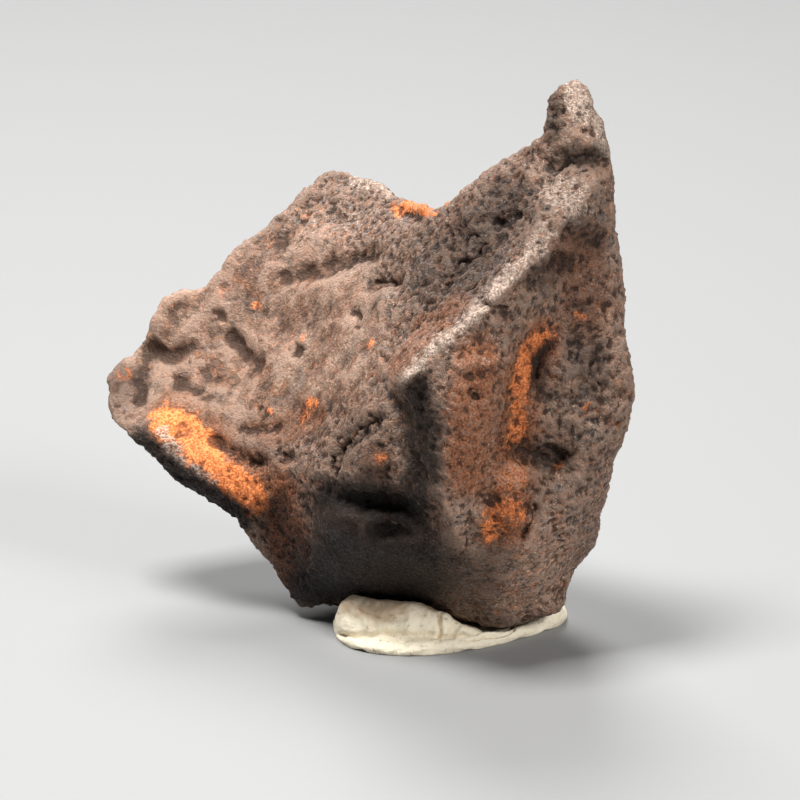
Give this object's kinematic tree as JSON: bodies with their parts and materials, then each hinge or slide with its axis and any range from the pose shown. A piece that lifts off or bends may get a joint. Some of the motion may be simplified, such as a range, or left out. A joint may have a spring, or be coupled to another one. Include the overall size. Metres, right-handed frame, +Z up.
{
  "type": "iron meteorite",
  "caption": "Small rusted iron meteorite with a hollowed wing, a thin ridge and a finger-like horn, held upright by a pressed dab of putty.",
  "frame": {"origin": "middle of the putty's flat underside, on the surface that the object stands on", "axes": "+Z up; +X to the right and +Y away as seen from the front, with the horn on the right and the wing on the left"},
  "size_m": [0.0276, 0.0229, 0.029],
  "materials": {
    "meteorite": "weathered rusty crust, rough with small glints, bright worn metal on the ridge and orange rust in patches",
    "putty": "off-white reusable putty, finger-pressed, matte, stained cream and light brown where it meets the stone"
  },
  "bodies": {
    "root": {"meteorite": "meteorite", "putty": "putty"}
  },
  "joints": []
}
